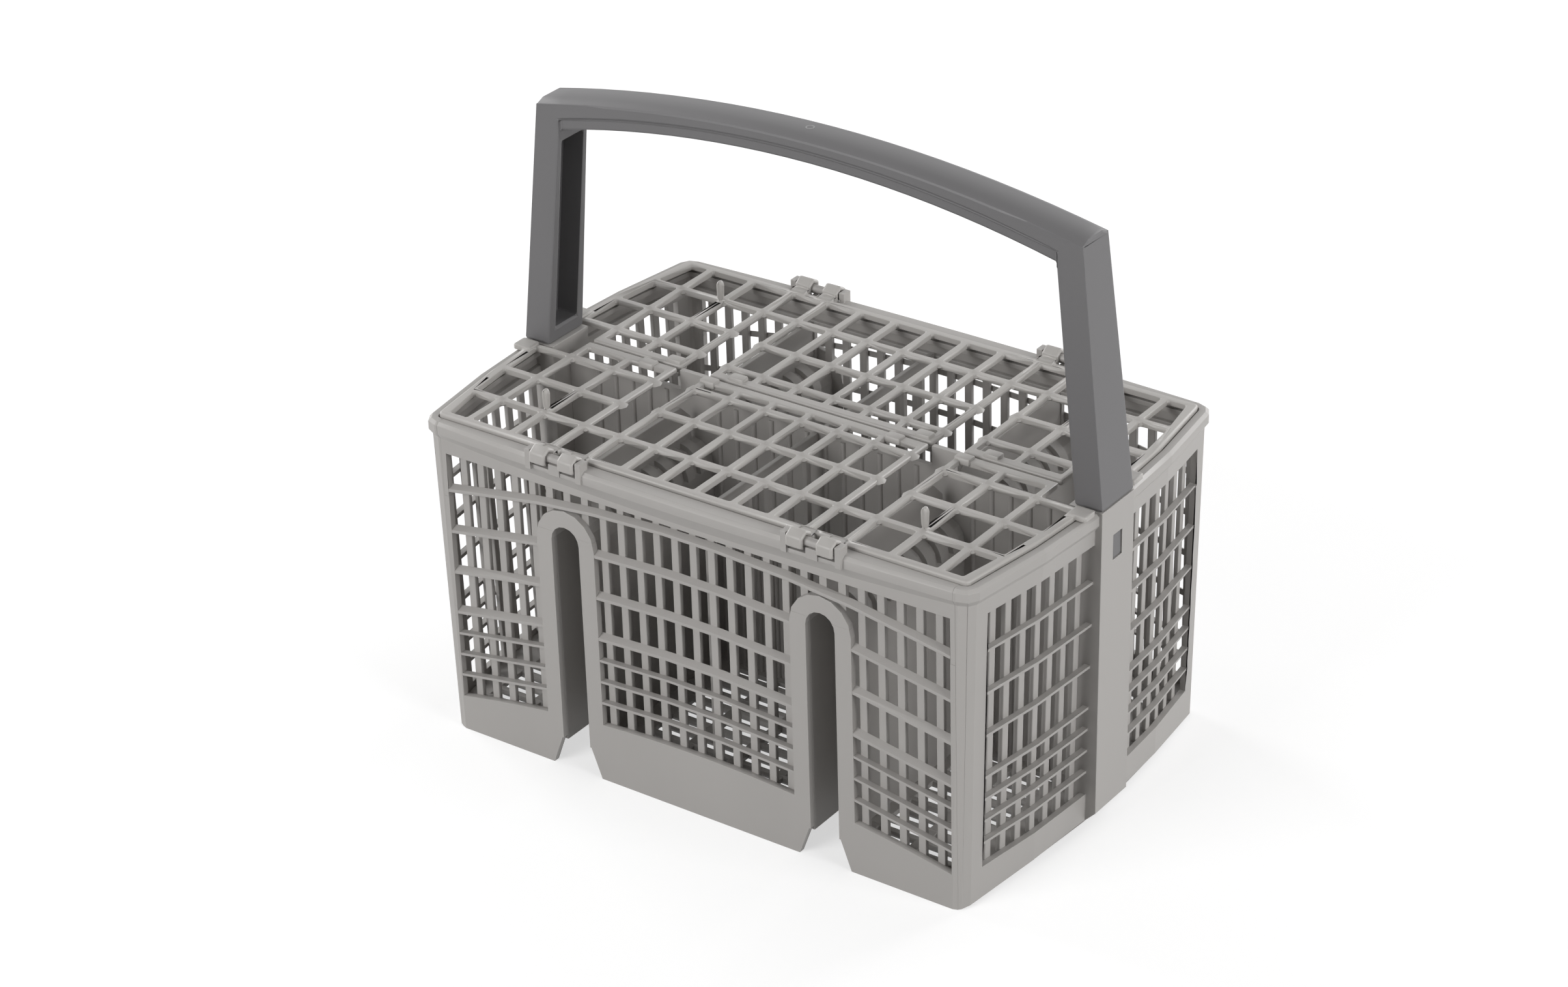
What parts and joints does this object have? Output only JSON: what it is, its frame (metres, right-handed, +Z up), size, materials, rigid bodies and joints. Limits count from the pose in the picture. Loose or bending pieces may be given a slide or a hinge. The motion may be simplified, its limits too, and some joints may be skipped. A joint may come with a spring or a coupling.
{
  "type": "dishwasher cutlery basket",
  "caption": "Rectangular plastic cutlery basket with grille walls, tunnels through its floor, hinged grid lids and a bow handle.",
  "frame": {"origin": "on the floor below the middle of the basket", "axes": "+X along the basket from one end post to the other, +Y from the front to the rear, +Z up"},
  "size_m": [0.255, 0.1716, 0.2427],
  "materials": {
    "body": "satin",
    "lid": "satin",
    "handle": "satin"
  },
  "bodies": {
    "basket": {"front_wall": "body", "rear_wall": "body", "left_end": "body", "right_end": "body", "left_floor": "body", "middle_floor": "body", "right_floor": "body", "left_tunnel": "body", "right_tunnel": "body", "centre_wall": "body", "front_fence": "body", "rear_fence": "body", "handle": "handle", "front_bars": "body", "rear_bars": "body", "left_bars": "body", "right_bars": "body", "front_panels": "body", "rear_panels": "body"},
    "front_lid": {"front_lid": "lid"},
    "rear_lid": {"rear_lid": "lid"}
  },
  "joints": [
    {"name": "front_lid_hinge", "type": "hinge", "parent": "basket", "child": "front_lid", "pos_m": [0, -0.0824, 0.1318], "axis": [1, 0, 0], "range_deg": [0, 180]},
    {"name": "rear_lid_hinge", "type": "hinge", "parent": "basket", "child": "rear_lid", "pos_m": [0, 0.0824, 0.1318], "axis": [-1, 0, 0], "range_deg": [0, 180]}
  ]
}
